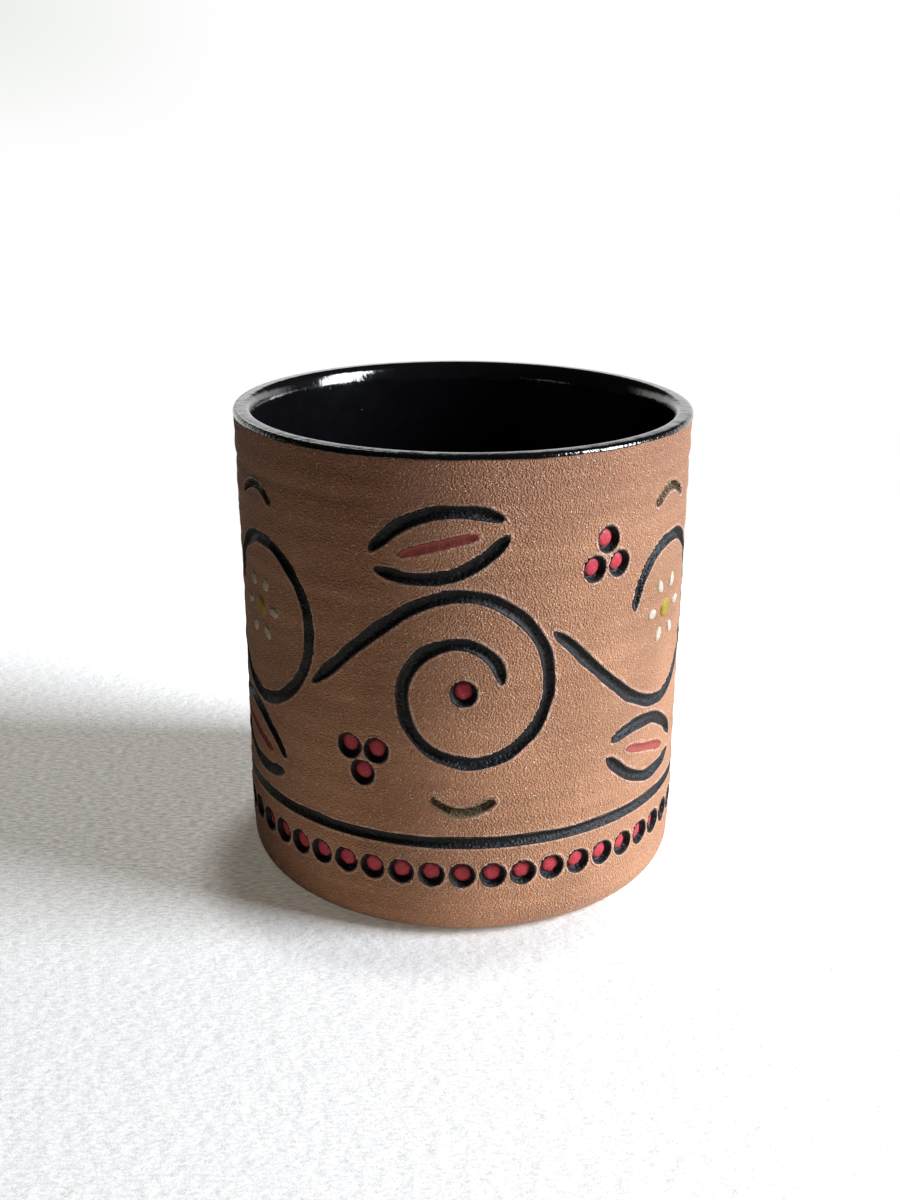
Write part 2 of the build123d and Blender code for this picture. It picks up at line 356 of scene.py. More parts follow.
pits = pit_places()
flower_middles = np.array([placed(motif, 0, volute_centre_share) for motif in motifs[1::2]])
print(f"{len(pits)} pits and {len(flower_middles)} flowers")

# %% [markdown]
# The clay body is one grid: columns round the cup, and rows that run from the middle of the floor inside,
# up the wall, over the lip, down the carved outside and under the foot. Where a line or a pit is cut, the
# rows dip under the slip that fills the cut, and the slip's own piece gives the crisp edge. The normals
# come from the wall before carving, so the clay stays calm right up to that edge. Each point also keeps
# its gap to the nearest cut, which the material reads for the burr and the smeared clay beside it.

# %% Gaps from the wall to the cuts
columns = 480
wall_step = 0.56
gap_limit = 3.0
pit_mouth_radius = 2.25
pit_edge_overlap = 0.15
wall_top_gap, wall_foot_gap = 0.35, 0.3


def gap_to_line(across, height, line):
    """Distance from wall points to a line's nearer edge, negative inside it, worked out only close by."""
    path, half = line["path"], line["half"]
    middle = (path.min(0) + path.max(0)) / 2
    reach = (path.max(0) - path.min(0)) / 2 + gap_limit + half.max()
    aside = (across - middle[0] + girth / 2) % girth - girth / 2
    near = (np.abs(aside) < reach[0]) & (np.abs(height - middle[1]) < reach[1])
    off_across = aside[near][:, None] - (path[:, 0] - middle[0])
    off_height = height[near][:, None] - path[:, 1]
    gap = np.full(across.shape, gap_limit)
    gap[near] = np.minimum(gap_limit, (np.hypot(off_across, off_height) - half).min(1))
    return gap


def gap_to_lines(across, height, lines):
    """The least gap to any of several lines."""
    return np.min([gap_to_line(across, height, line) for line in lines], axis=0)


def gap_to_pits(across, height):
    """Distance from wall points to the nearest pit's mouth, negative inside it."""
    gap = np.full(across.shape, gap_limit)
    for pit in pits:
        aside = (across - pit[0] + girth / 2) % girth - girth / 2
        gap = np.minimum(gap, np.hypot(aside, height - pit[1]) - pit_mouth_radius - pit_edge_overlap)
    return gap


wall_heights = np.arange(wall_top_height - wall_top_gap, foot_round + wall_foot_gap, -wall_step)
angles = around(columns)
across_grid, height_grid = np.meshgrid(angles * rim_radius, wall_heights)
black_gap = gap_to_lines(across_grid, height_grid, vines + leaves)
black_gap = np.minimum(black_gap, np.abs(height_grid - border_line_height) - line_width / 2)
rib_gap = gap_to_lines(across_grid, height_grid, ribs)
stamp_gap = gap_to_lines(across_grid, height_grid, stamps)
pit_gap = gap_to_pits(across_grid, height_grid)
print(f"{(black_gap < 0).mean():.0%} of the wall is black line and {(pit_gap < 0).mean():.0%} is pits")

# %% The clay body
inner_low_radius = 36.7
floor_thickness = 6.0
floor_curve_radius = 9.0
foot_ring_width = 5.0
foot_recess_depth = 1.4
foot_recess_run = 2.0
foot_edge_width, foot_edge_height = 0.3, 0.1
pole_radius = 0.1  # the ring round each middle point, which the closing point then fills
floor_radii = (pole_radius, 12.0, 24.0)
inside_heights = (18.0, 40.0, 62.0, 76.0, 82.0)
recess_radii = (18.0, pole_radius)
floor_turns, foot_turns = np.linspace(-80, -10, 6), np.linspace(-4, -90, 12)  # degrees round the two curves
lip_inner_width = 1.3  # the inner corner of the lip is a quarter of an ellipse, this wide
lip_inner_drop = 3.0  # and this high
lip_dome = 0.09  # how much lower the lip's two sides lie than its middle
lip_steps = (12, 7, 9)  # points over the inner corner, the flat and the outer corner
bed_shoulder = 0.15
bed_run = 0.45
line_bed_depth = 1.15
rib_bed_depth = 0.8
stamp_bed_depth = 1.3
pit_bed_depth = 1.95


def inner_radius(height):
    """Clay radius of the inner wall: a straight taper."""
    low = floor_thickness + floor_curve_radius
    along = (height - low) / (lip_height - lip_inner_drop - low)
    return inner_low_radius + (clay_rim_radius - lip_thickness - inner_low_radius) * along


def arc(middle, reach, degrees):
    """Radius and height round a part of an ellipse."""
    turn = np.radians(degrees)
    return middle[0] + reach[0] * np.cos(turn), middle[1] + reach[1] * np.sin(turn)


def inside_profile(offset):
    """Radius and height from near the middle of the floor to below the lip, moved into the cup by offset."""
    curve_middle = (inner_low_radius - floor_curve_radius, floor_thickness + floor_curve_radius)
    bend = np.stack(arc(curve_middle, [floor_curve_radius - offset] * 2, floor_turns), -1)
    floor = [(radius, floor_thickness + offset) for radius in (*floor_radii, curve_middle[0])]
    heights = np.array(inside_heights)
    wall = np.stack([inner_radius(heights) - offset, heights], -1)
    return np.concatenate([floor, bend, wall])


def lip_surface(offset, last_turn):
    """Radius and height over the lip: an elliptic inner corner, a low dome and a round outer corner.

    The outer corner stops at last_turn, an angle above the outward direction, one for each column.
    """
    in_turn = np.linspace(180, 90, lip_steps[0])[:, None]
    out_turn = 90 + (last_turn - 90) * np.linspace(0, 1, lip_steps[2])[:, None]
    in_middle = clay_rim_radius - lip_thickness + lip_inner_width
    out_middle = clay_rim_radius - lip_outer_round
    in_reach = (lip_inner_width + offset, lip_inner_drop + offset)
    inner = arc((in_middle, lip_height - lip_inner_drop), in_reach, in_turn)
    outer = arc((out_middle, wall_top_height), [lip_outer_round + offset] * 2, out_turn)
    across = np.linspace(0, 1, lip_steps[1])[1:-1, None]
    flat = (in_middle + (out_middle - in_middle) * across, lip_height + offset + 0 * across)
    parts = (inner, flat, outer)
    rows = [[np.broadcast_to(values, (len(values), columns)) for values in part] for part in parts]
    radius, height = (np.concatenate(values) for values in zip(*rows))
    middle = clay_rim_radius - lip_thickness / 2
    return radius, height - lip_dome * ((radius - middle) / (lip_thickness / 2)) ** 2


def foot_profile():
    """Radius and height round the foot's rounded corner, over the ring it stands on, into the recess."""
    corner = np.stack(arc((foot_radius, foot_round), (foot_round, foot_round), foot_turns), -1)
    recess_radius = foot_radius - foot_ring_width
    ring = [(recess_radius + foot_edge_width, 0.0), (recess_radius, foot_edge_height)]
    slope = (recess_radius - foot_recess_depth, foot_recess_depth - foot_edge_height)
    recess = [(radius, foot_recess_depth) for radius in (recess_radius - foot_recess_run, *recess_radii)]
    return np.concatenate([corner, ring, [slope], recess])


def carried_round(radius, height):
    """Rings of points from radii and heights, one of each per row and column."""
    from_front = angles - np.pi / 2
    radius = radius + drift(from_front, height) * radius / rim_radius
    x, y = radius * np.cos(from_front), radius * np.sin(from_front)
    return np.stack(np.broadcast_arrays(x, y, height), -1)


def turned(profile):
    """A profile of radius and height carried round the cup, as rings."""
    return carried_round(profile[:, :1], profile[:, 1:])


def bed(gap, depth):
    """How deep the clay dips under slip: nothing at the edge, all of depth a little further in."""
    return depth * rise(-gap, bed_shoulder, bed_shoulder + bed_run)


relief = np.maximum.reduce([
    bed(black_gap, line_bed_depth),
    bed(rib_gap, rib_bed_depth),
    bed(stamp_gap, stamp_bed_depth),
    bed(pit_gap, pit_bed_depth),
])
rows_above = np.concatenate([turned(inside_profile(0)), carried_round(*lip_surface(0, np.zeros(columns)))])
rows_below = turned(foot_profile())
smooth_wall = wall_point(across_grid, height_grid, 0.0)
carved_wall = wall_point(across_grid, height_grid, -relief)
clay_smooth = np.concatenate([rows_above, smooth_wall, rows_below])
clay_carved = np.concatenate([rows_above, carved_wall, rows_below])


def with_far_rows(wall_values):
    """Wall numbers padded with the gap limit for the rows inside the cup and under the foot."""
    above = np.full((len(rows_above), columns), gap_limit)
    below = np.full((len(rows_below), columns), gap_limit)
    return np.concatenate([above, wall_values, below])[None]


def calm_normals(grid):
    """Normals of the uncarved surface: the cross product of the steps along the columns and the rows."""
    along_column = np.gradient(grid, axis=0)
    along_row = np.roll(grid, -1, axis=1) - np.roll(grid, 1, axis=1)
    normals = np.cross(along_column, along_row).reshape(-1, 3)
    normals /= np.linalg.norm(normals, axis=1)[:, None]
    return np.concatenate([normals, [[0, 0, 1], [0, 0, -1]]])


clay_values = {
    "line_gap": with_far_rows(np.minimum(black_gap, rib_gap)),
    "stamp_gap": with_far_rows(stamp_gap),
    "pit_gap": with_far_rows(pit_gap),
}
clay_body = make_piece("carved_clay_body", "clay_body", clay_carved[None], clay_values)
clay_body.data.normals_split_custom_set_from_vertices(calm_normals(clay_smooth).tolist())
print(f"deepest bed {relief.max():.2f} mm")

# %% [markdown]
# The liner glaze was poured in, poured out and wiped back to the lip. It is a thin closed coat: up the
# inside, over the crest, and down the outside to a rounded bead whose edge wavers, because glaze creeps a
# little as it melts.

# %% The liner glaze
glaze_edge_turn = 14.0  # degrees above the outward direction, where the coat ends on the lip's outer corner
glaze_edge_reach = 13.0
glaze_edge_waves = ((3, 0.5, 0.5), (7, 0.3, 2.0), (17, 0.2, 0.0), (41, 0.15, 0.0))
glaze_back_gap = 0.05
glaze_edge_thin = 0.2
glaze_thin_rows = 6
bead_in = np.array([[0.05], [0.16], [0.4]])
bead_down = np.array([[0.05], [0.07], [0.0]])

edge_turn = glaze_edge_turn + glaze_edge_reach * waves_round(angles, glaze_edge_waves)
top_radius, top_height = lip_surface(glaze_thickness, edge_turn)
last_row = len(top_radius) - 1
thinning = glaze_edge_thin * rise(np.arange(last_row + 1), last_row - glaze_thin_rows, last_row)
top_radius = top_radius - thinning[:, None]
top_lip = carried_round(top_radius, top_height)
bead = carried_round(top_radius[-1] - bead_in, top_height[-1] - bead_down)
back_radius, back_height = lip_surface(glaze_back_gap, edge_turn)
back_lip = carried_round(back_radius, back_height)[::-1]
back_inside = turned(inside_profile(glaze_back_gap)[::-1])
front_inside = turned(inside_profile(glaze_thickness))
glaze_rings = np.concatenate([front_inside, top_lip, bead, back_lip[1:], back_inside])
glaze_coat = make_piece("liner_glaze_coat", "liner_glaze", glaze_rings[None])

# %% [markdown]
# Slip lies in a line like paint in a gutter: up to both edges, hollow in the middle. Its cross-section is
# a short closed row of points, and it is carried along the line as an array: sideways by the half width,
# outwards by the lift. Where the line runs out it gets narrower and shallower.

# %% Slip in the lines
upper_shares = np.array([-1, -0.965, -0.9, -0.84, -0.7, -0.5, -0.25, 0, 0.25, 0.5, 0.7, 0.84, 0.9, 0.965, 1])
lower_shares = np.array([0.97, 0.6, 0, -0.6, -0.97])
section_shares = np.append(upper_shares, lower_shares)
edge_shares = np.abs(section_shares)  # 0 in the middle of a strip and 1 at its edges
is_upper = np.arange(len(section_shares)) < len(upper_shares)
hollow_share = 0.81
hollow_power = 2.4
flat_half, hollow_half = 0.4, 1.05  # the half widths between which a strip gets its hollow
edge_lift = 0.05
edge_tuck, edge_tuck_share = 0.06, 0.98
skirt_depth, skirt_share = 0.35, 0.9
slip_body = 0.3
ripple_margin = 0.4
ripple_quickness = 3
ripple_seed = 90


def slip_lifts(half, hollow):
    """Lift of each section point: a raised edge, a hollow that follows a power curve, a back under it."""
    bowl = np.clip(1 - (edge_shares / hollow_share) ** hollow_power, 0, 1)
    depth = hollow * rise(half, flat_half, hollow_half)
    lifts = edge_lift - depth[:, None] * bowl
    lifts = lifts - edge_tuck * (edge_shares > edge_tuck_share)
    back = np.where(edge_shares > skirt_share, -skirt_depth, lifts - slip_body)
    return np.where(is_upper, lifts, back)


def slip_strip(line, hollow, ripple, seed):
    """Rings of one strip: the section at every point of the line, as wide as the line is there."""
    path, half, aside, along = (line[key] for key in ("path", "half", "aside", "along"))
    flat = path[:, None] + aside[:, None] * (half[:, None] * section_shares)[..., None]
    inner = is_upper * np.clip(1 - edge_shares, 0, ripple_margin) / ripple_margin
    lifts = slip_lifts(half, hollow) + ripple * wander(along * ripple_quickness, seed)[:, None] * inner
    return wall_point(flat[..., 0], flat[..., 1], lifts)


def slip_piece(name, node, lines, hollow, ripple, closed_path=False):
    """One piece of several strips; shorter lines are looked up at as many places as the longest has."""
    rings = max(len(line["along"]) for line in lines)
    forms = []
    for index, line in enumerate(lines):
        places = np.linspace(0, line["along"][-1], rings)
        even = {"along": places, "half": np.interp(places, line["along"], line["half"])}
        for key in ("path", "aside"):
            even[key] = np.stack([np.interp(places, line["along"], values) for values in line[key].T], -1)
        forms.append(slip_strip(even, hollow, ripple, ripple_seed + index))
    edge = np.broadcast_to(edge_shares, np.shape(forms)[:3])
    return make_piece(name, node, forms, {"edge_share": edge}, closed_path)


line_hollow = 0.8
border_wobble = 0.06
border_waves = ((3, 1, 0), (8, 1, 1), (19, 1, 2))
vine_slip = slip_piece("vine_line_slip", "vine_black_slip", vines, line_hollow, ripple=0.05)
leaf_slip = slip_piece("leaf_line_slip", "leaf_black_slip", leaves, line_hollow, ripple=0.05)
rib_slip = slip_piece("leaf_rib_slip", "leaf_red_slip", ribs, hollow=0.42, ripple=0.03)
stamp_glaze = slip_piece(
    "stamp_pool_glaze", "stamp_brown_glaze", stamps, hollow=1.0, ripple=0.08
)
unsteady = waves_round(angles, border_waves)
border = {  # the same section carried once round the cup, back to its start
    "path": np.stack([angles * rim_radius, border_line_height + border_wobble * unsteady], -1),
    "half": line_width / 2 * (1 + wander_width_share * unsteady / 2),
    "aside": np.tile([0.0, 1.0], (columns, 1)),
    "along": angles * rim_radius,
}
border_slip = slip_piece(
    "border_line_slip", "border_black_slip", [border], line_hollow, ripple=0, closed_path=True
)

# %% [markdown]
# Pit linings, berries, petals and flower middles are small turned forms that lie on the wall. One
# function makes them all: rings given by a share of a radius and a lift, an outline that may be oval or
# uneven, and a list of places. They are wrapped on the wall like everything else.

# %% Small round forms
pit_rings = [
    (0.1, -1.28), (1.0, -1.28), (1.5, -1.24), (1.75, -1.1), (1.92, -0.8), (2.05, -0.4), (2.14, -0.1),
    (2.2, 0.02), (2.28, 0.06), (2.37, 0.05), (2.42, -0.02), (2.4, -0.3), (2.2, -1.2), (1.9, -1.6),
    (0.1, -1.75),
]
berry_rings = [
    (0.08, -0.66), (0.6, -0.68), (1.05, -0.73), (1.4, -0.83), (1.57, -0.97), (1.62, -1.12), (1.58, -1.27),
    (0.1, -1.34),
]
petal_rings = [(0.05, 0.34), (0.4, 0.33), (0.7, 0.28), (0.88, 0.18), (0.97, 0.05), (1, -0.1), (0.1, -0.4)]
middle_rings = [
    (0.1, 0.42), (0.8, 0.4), (1.3, 0.34), (1.65, 0.22), (1.82, 0.06), (1.9, -0.12), (1.8, -0.4), (0.1, -0.5),
]
outline_waves = (2, 3, 5)
berry_place_seed, berry_scatter = 13, 0.07
berry_shift = (-0.16, 0.18)  # the berries sit a little off the middles of their pits
petal_count, petal_sides = 6, 24
petal_inner_reach, petal_outer_reach = 3.6, 6.4
petal_width = 1.9
petal_egg_share = 0.08


def uneven(count, sides, size, seed):
    """Outlines near 1: sines of two, three and five waves round, with seeded strengths and starts."""
    rng = np.random.default_rng(seed)
    outlines = np.ones((count, sides))
    for waves in outline_waves:
        strength = rng.normal(0, size, (count, 1))
        outlines += strength * np.sin(waves * around(sides) + rng.uniform(0, 2 * np.pi, (count, 1)))
    return outlines


def petal_egg(turned_by):
    """An egg whose long half is the petal's half length and whose short half is its half width, turned."""
    turn = around(petal_sides) - turned_by
    long_half, short_half = (petal_outer_reach - petal_inner_reach) / 2, petal_width / 2
    oval = long_half * short_half / np.hypot(short_half * np.cos(turn), long_half * np.sin(turn))
    return oval * (1 + petal_egg_share * np.cos(turn))


def pad_piece(name, node, places, rings, outlines):
    """One piece of round forms: each ring's radius is the ring's times the outline's at that angle."""
    radii, lifts = np.array(rings).T[:, None, :, None]
    turn = around(outlines.shape[1])
    reach = radii * outlines[:, None, :]
    across = places[:, None, None, 0] + reach * np.cos(turn)
    height = places[:, None, None, 1] + reach * np.sin(turn)
    edge = np.broadcast_to(radii / radii.max(), reach.shape)
    return make_piece(name, node, wall_point(across, height, lifts), {"edge_share": edge})


pit_outlines = uneven(len(pits), sides=28, size=0.012, seed=11)
pit_slip = pad_piece("pit_lining_slip", "pit_black_slip", pits, pit_rings, pit_outlines)

scatter = np.random.default_rng(berry_place_seed).normal(0, berry_scatter, pits.shape)
berry_places = pits + (scatter + berry_shift)
berry_outlines = uneven(len(pits), sides=24, size=0.025, seed=17)
berries = pad_piece(
    "pit_berries", "berry_red_slip", berry_places, berry_rings, berry_outlines
)

petal_turns = around(petal_count)
petal_reach = (petal_inner_reach + petal_outer_reach) / 2
petal_offsets = petal_reach * np.stack([np.cos(petal_turns), np.sin(petal_turns)], -1)
petal_places = (flower_middles[:, None] + petal_offsets).reshape(-1, 2)
petal_eggs = np.tile([petal_egg(turn) for turn in petal_turns], (len(flower_middles), 1))
petal_outlines = petal_eggs * uneven(len(petal_places), petal_sides, size=0.03, seed=19)
petals = pad_piece(
    "flower_petals", "petal_white_slip", petal_places, petal_rings, petal_outlines
)

middle_outlines = uneven(len(flower_middles), sides=32, size=0.02, seed=23)
flower_centres = pad_piece(
    "flower_middles", "flower_yellow_slip", flower_middles, middle_rings, middle_outlines
)

# %% [markdown]
# Finishes are built from a few shared node groups: the fired grain with its grit, the marks of throwing,
# and the burr that a tool leaves beside a cut. Small helpers place a node and link or set its inputs in
# one call, which keeps each group as short as a recipe. All patterns read Object coordinates, turned from
# metres into millimetres.

# %% Placing nodes


def place(tree, kind, inputs=None, **settings):
    """Adds a node with its settings, and links each input that is a socket or sets it if it is a value."""
    node = tree.nodes.new("ShaderNode" + kind)
    for key, value in settings.items():
        setattr(node, key, value)
    for key, value in (inputs or {}).items():
        if isinstance(value, bpy.types.NodeSocket):
            tree.links.new(value, node.inputs[key])
        else:
            node.inputs[key].default_value = value
    return node


def spaced(named):
    """The same values under their sockets' names: an underscore stands for a space."""
    return {key.replace("_", " "): value for key, value in named.items()}


def feed(node, **values):
    """Links values to a node's inputs by name."""
    for key, value in spaced(values).items():
        node.id_data.links.new(value, node.inputs[key])


def worked(operation, first, second):
    """The output of a Math node, in the tree of whichever value is a socket."""
    socket = first if isinstance(first, bpy.types.NodeSocket) else second
    return place(socket.id_data, "Math", {0: first, 1: second}, operation=operation).outputs[0]


def times(first, second):
    """Two values multiplied."""
    return worked("MULTIPLY", first, second)


def weighed(*parts):
    """The sum of pairs of value and weight, each value times its weight."""
    total = 0.0
    for value, weight in parts:
        inputs = {0: value, 1: weight, 2: total}
        total = place(value.id_data, "Math", inputs, operation="MULTIPLY_ADD").outputs[0]
    return total


def ease(value, low, high, to_low=0.0, to_high=1.0):
    """A value turned smoothly from one range into another."""
    inputs = {"Value": value, "From Min": low, "From Max": high, "To Min": to_low, "To Max": to_high}
    return place(value.id_data, "MapRange", inputs, interpolation_type="SMOOTHSTEP").outputs["Result"]


def mix(share, first, second):
    """A mix of two colours."""
    return place(share.id_data, "Mix", {0: share, 6: first, 7: second}, data_type="RGBA").outputs[2]


def millimetres(tree, stretch=(1, 1, 1)):
    """Object coordinates in millimetres, squeezed along each axis by a factor."""
    place_on_object = place(tree, "TexCoord").outputs["Object"]
    factors = tuple(factor / metres for factor in stretch)
    return place(tree, "VectorMath", {0: place_on_object, 1: factors}, operation="MULTIPLY").outputs[0]


def axes_of(vector):
    """A vector's three numbers, X, Y and Z."""
    return place(vector.id_data, "SeparateXYZ", {0: vector}).outputs


def far_from(vector, middle=(0, 0, 0)):
    """The distance of a place from a middle."""
    ends = {0: vector, 1: middle}
    return place(vector.id_data, "VectorMath", ends, operation="DISTANCE").outputs["Value"]


def noise(scale, vector, detail, roughness):
    """A noise value; scale counts features per millimetre."""
    inputs = {"Vector": vector, "Scale": scale, "Detail": detail, "Roughness": roughness}
    return place(vector.id_data, "TexNoise", inputs).outputs["Fac"]


def cells(scale, vector, **settings):
    """Scattered cells: the distance to the nearest one's middle and a random colour for each."""
    return place(vector.id_data, "TexVoronoi", {"Vector": vector, "Scale": scale}, **settings).outputs


def start_group(name, inputs, outputs):
    """A node group with float inputs and outputs: its tree, what it is given and the node that gives."""
    tree = bpy.data.node_groups.new(name, "ShaderNodeTree")
    for end, labels in (("INPUT", inputs), ("OUTPUT", outputs)):
        for label in labels:
            tree.interface.new_socket(label, in_out=end, socket_type="NodeSocketFloat")
    return tree, tree.nodes.new("NodeGroupInput").outputs, tree.nodes.new("NodeGroupOutput")


def use_group(tree, group, **inputs):
    """Places a group and feeds it by name."""
    return place(tree, "Group", spaced(inputs), node_tree=group).outputs


# %% Fired grain
grain, given, gives = start_group(
    "fired_grain", ("Fineness", "Grit Share"), ("Height", "Tone", "Grit", "Pore")
)
where = millimetres(grain)
fineness, grit_share = given["Fineness"], given["Grit Share"]
coarse = noise(fineness, where, 1.5, 0.6)
fine = noise(times(fineness, 3.3), where, 2.0, 0.6)
grit_cells = cells(times(fineness, 0.9), where)
picked = place(grain, "SeparateColor", {0: grit_cells["Color"]}).outputs[0]
dot = ease(grit_cells["Distance"], 0.42, 0.18)
grit = times(worked("LESS_THAN", picked, grit_share), dot)
hollow = worked("GREATER_THAN", picked, worked("SUBTRACT", 1.0, grit_share))
granules = cells(times(fineness, 0.8), where)["Distance"]
sand = times(ease(granules, 0.75, 0.05), ease(coarse, 0.35, 0.6, 0.45, 1.0))
rough_height = weighed((sand, 0.75), (fine, 0.25))
full_height = weighed((rough_height, 1.0), (grit, 0.45))
feed(gives, Height=full_height, Tone=rough_height, Grit=grit, Pore=times(hollow, dot))
print("fired_grain:", len(grain.nodes), "nodes")

# %% Throwing marks
throwing, given, gives = start_group("throwing_marks", ("Closeness",), ("Height", "Tone", "Blush"))
bands = noise(given["Closeness"], millimetres(throwing, (0.05, 0.05, 1.0)), 5.0, 0.62)
patches = noise(0.045, millimetres(throwing), 3.0, 0.55)
band_tone = ease(bands, 0.3, 0.7)
feed(gives, Height=bands, Tone=band_tone, Blush=ease(patches, 0.38, 0.66))
print("throwing_marks:", len(throwing.nodes), "nodes")

# %% Burr beside a cut
burr, given, gives = start_group("tool_burr", ("Gap", "Width"), ("Height", "Smear"))
broken = noise(0.8, millimetres(burr), 3.0, 0.6)
widths_off = worked("DIVIDE", given["Gap"], given["Width"])
off_ridge = worked("ABSOLUTE", worked("SUBTRACT", widths_off, 0.6), 0.0)
ridge = times(ease(off_ridge, 0.9, 0.0), ease(broken, 0.35, 0.6, 0.15, 1.0))
smear = times(ease(widths_off, 1.6, 0.5), ease(broken, 0.35, 0.6, 0.1, 1.0))
feed(gives, Height=ridge, Smear=smear)
print("tool_burr:", len(burr.nodes), "nodes")

# %% [markdown]
# The raw clay is the finish that shows most: a warm brown body with sandy grain, pale grit that glints, a
# few iron specks, faint throwing bands, a darker flash under the glaze, and paler smeared clay beside the
# cuts. The tints are laid over the body one after another, each with a mask of its own.

# %% Raw clay


def rgb(*tones):
    """A colour with full alpha, from red, green and blue or from one grey."""
    return (*(tones * 3)[:3], 1.0)


def start_material(name, **constants):
    """A material and its Principled shader, with plain numbers set on the shader's own sockets."""
    material = bpy.data.materials.new(name)
    material.use_nodes = True
    shader = material.node_tree.nodes["Principled BSDF"]
    for key, value in spaced(constants).items():
        shader.inputs[key].default_value = value
    return material, material.node_tree, shader


def attribute(tree, name):
    """A number that the mesh keeps per point."""
    return place(tree, "Attribute", attribute_name=name).outputs["Fac"]


def bump(height, distance=1.0, strength=1.0):
    """The normal of a surface that stands up by height times a distance in millimetres."""
    inputs = {"Height": height, "Distance": distance * metres, "Strength": strength}
    return place(height.id_data, "Bump", inputs).outputs[0]


def dress(material, *pieces):
    """Gives a finished material to its pieces."""
    for piece in pieces:
        piece.data.materials.append(material)
    print(f"{material.name.partition('.')[0]}: {len(material.node_tree.nodes)} nodes")


clay_dark, clay_light = rgb(0.28, 0.120, 0.054), rgb(0.61, 0.298, 0.155)
grit_pale = rgb(1.0, 0.78, 0.55)
pore_dark = rgb(0.12, 0.050, 0.028)
speck_dark = rgb(0.075, 0.035, 0.024)
flash_dark = rgb(0.24, 0.090, 0.050)
smear_pale = rgb(0.72, 0.46, 0.36)
speck_share = 0.10
flash_heights = (cup_height - 20, cup_height - 4)
burr_widths = {"line_gap": 0.4, "pit_gap": 0.4, "stamp_gap": 0.35}

raw_clay, tree, shader = start_material("raw_clay", Sheen_Weight=0.18, Sheen_Roughness=0.4)
where = millimetres(tree)
grains = use_group(tree, grain, Fineness=3.3, Grit_Share=0.13)
marks = use_group(tree, throwing, Closeness=0.5)
line_burr, pit_burr, stamp_burr = (
    use_group(tree, burr, Gap=attribute(tree, gap), Width=width) for gap, width in burr_widths.items()
)
tone = weighed((grains["Tone"], 0.5), (marks["Tone"], 0.2), (marks["Blush"], 0.28))
colour = mix(tone, clay_dark, clay_light)
round_smear = worked("MAXIMUM", pit_burr["Smear"], stamp_burr["Smear"])
any_smear = worked("MAXIMUM", line_burr["Smear"], round_smear)
under_lip = ease(axes_of(where)["Z"], *flash_heights)
speck_cells = cells(0.42, where)
speck_pick = place(tree, "SeparateColor", {0: speck_cells["Color"]}).outputs[1]
speck_dot = ease(speck_cells["Distance"], 0.13, 0.06)
speck = times(worked("LESS_THAN", speck_pick, speck_share), speck_dot)
tints = (
    (any_smear, 0.55, smear_pale),
    (under_lip, 0.35, flash_dark),
    (speck, 0.8, speck_dark),
    (grains["Grit"], 0.9, grit_pale),
    (grains["Pore"], 0.5, pore_dark),
)
for mask, strength, tint in tints:
    colour = mix(times(mask, strength), colour, tint)
heights = ((grains, 0.34), (marks, 0.12), (line_burr, 0.16), (pit_burr, 0.22), (stamp_burr, 0.2))
clay_roughness = ease(grains["Grit"], 0.2, 0.9, 0.72, 0.42)
clay_normal = bump(weighed(*((relief_of["Height"], share) for relief_of, share in heights)))
feed(shader, Base_Color=colour, Roughness=clay_roughness, Normal=clay_normal)
dress(raw_clay, clay_body)

# %% [markdown]
# Slip is thinned clay with a stain in it. It fires matt and a little gritty, and wears thin at its edges,
# where another tone shows. One function makes every slip from three tones, a roughness and a grain.

# %% Slips


def slip_finish(name, *pieces, deep, lit, worn, roughness, fineness, bump_depth, worn_share):
    """A slip: grain mixes its deep and lit tones, and the worn tone shows at broken edges."""
    material, tree, shader = start_material(name, Specular_IOR_Level=0.3)
    grains = use_group(tree, grain, Fineness=fineness, Grit_Share=0.16)
    broken = noise(1.1, millimetres(tree), 3.0, 0.6)
    edge = ease(attribute(tree, "edge_share"), 0.82, 1.0)
    worn_mask = times(edge, ease(broken, 0.55, 0.68))
    colour = mix(grains["Tone"], rgb(*deep), rgb(*lit))
    colour = mix(times(worn_mask, worn_share), colour, rgb(*worn))
    spread = ease(grains["Grit"], 0.1, 0.9, roughness, roughness * 0.6)
    feed(shader, Base_Color=colour, Roughness=spread, Normal=bump(grains["Height"], bump_depth))
    dress(material, *pieces)


slip_finish(
    "black_slip", vine_slip, leaf_slip, border_slip, pit_slip,
    deep=(0.003, 0.003, 0.004), lit=(0.021, 0.024, 0.028), worn=(0.050, 0.040, 0.034),
    roughness=0.52, fineness=2.0, bump_depth=0.2, worn_share=0.6,
)
slip_finish(
    "dull_red_slip", rib_slip,
    deep=(0.22, 0.045, 0.036), lit=(0.40, 0.095, 0.075), worn=(0.34, 0.20, 0.13),
    roughness=0.7, fineness=3.2, bump_depth=0.07, worn_share=0.7,
)
slip_finish(
    "bright_red_slip", berries,
    deep=(0.39, 0.030, 0.047), lit=(0.58, 0.060, 0.090), worn=(0.18, 0.015, 0.02),
    roughness=0.5, fineness=2.2, bump_depth=0.05, worn_share=0.5,
)
slip_finish(
    "white_slip", petals,
    deep=(0.40, 0.35, 0.28), lit=(0.62, 0.57, 0.49), worn=(0.36, 0.25, 0.17),
    roughness=0.65, fineness=2.6, bump_depth=0.1, worn_share=0.6,
)
slip_finish(
    "yellow_slip", flower_centres,
    deep=(0.24, 0.17, 0.018), lit=(0.42, 0.31, 0.038), worn=(0.15, 0.09, 0.02),
    roughness=0.5, fineness=2.4, bump_depth=0.07, worn_share=0.6,
)

# %% [markdown]
# The two glazes are glass. The liner is black and mirror-like, with a faint ripple, a few pinholes, and
# lumps only on the outside of the lip. The brown one pooled in the stamps: thin and pale at the edges,
# dark where it is deep, with a lumpy skin.

